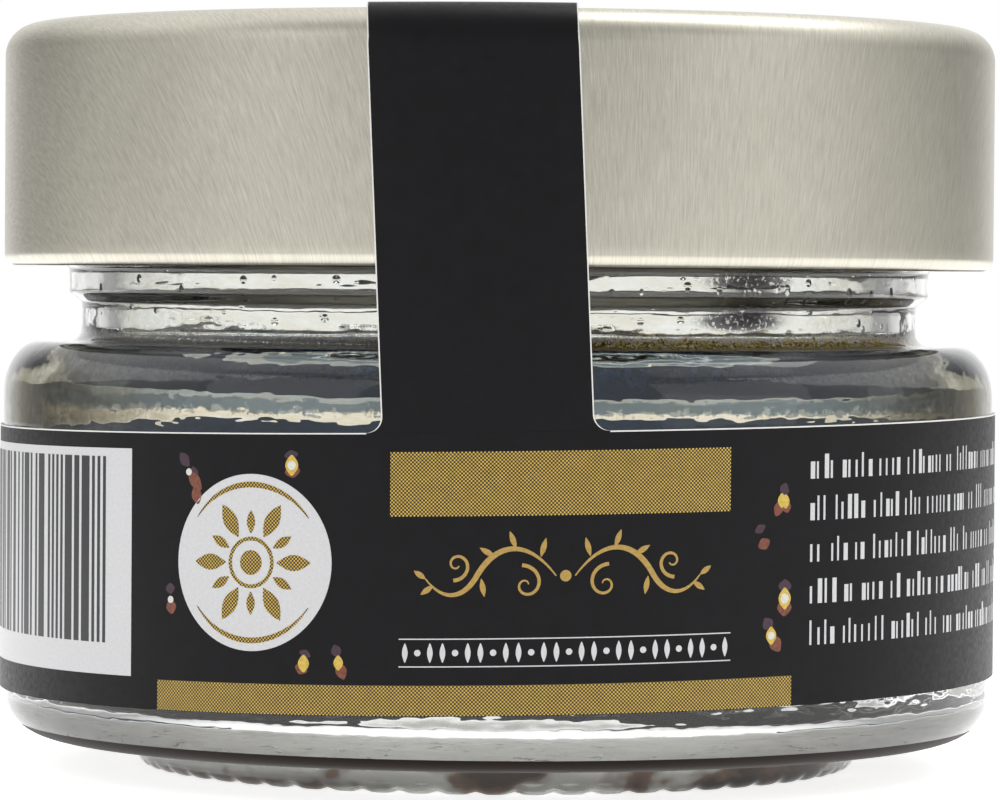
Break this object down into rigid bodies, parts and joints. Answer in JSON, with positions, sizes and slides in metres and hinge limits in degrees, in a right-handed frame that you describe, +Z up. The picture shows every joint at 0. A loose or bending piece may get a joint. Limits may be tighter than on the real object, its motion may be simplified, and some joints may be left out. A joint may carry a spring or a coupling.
{
  "type": "truffle preserve jar with twist-off lid",
  "caption": "Squat clear glass jar of whole black truffles, closed by a deep satin twist-off lid and sealed with a wrap-around paper label.",
  "frame": {"origin": "centre of the jar's outline on the plane it stands on", "axes": "+Z up along the jar's axis; -Y is the front, where the label's strip climbs over the lid; +X is to the right seen from the front"},
  "size_m": [0.0566, 0.0564, 0.0421],
  "materials": {
    "glass": "clear flint glass",
    "tinplate": "brushed satin, clear lacquer",
    "compound": "soft matte",
    "paper": "satin coated, printed",
    "truffle": "rough, wet",
    "juice": "clear brown liquid"
  },
  "bodies": {
    "root": {"jar": "glass", "lid": "tinplate", "sealing_ring": "compound", "label": "paper", "truffle_1": "truffle", "truffle_2": "truffle", "truffle_3": "truffle", "juice": "juice"}
  },
  "joints": []
}
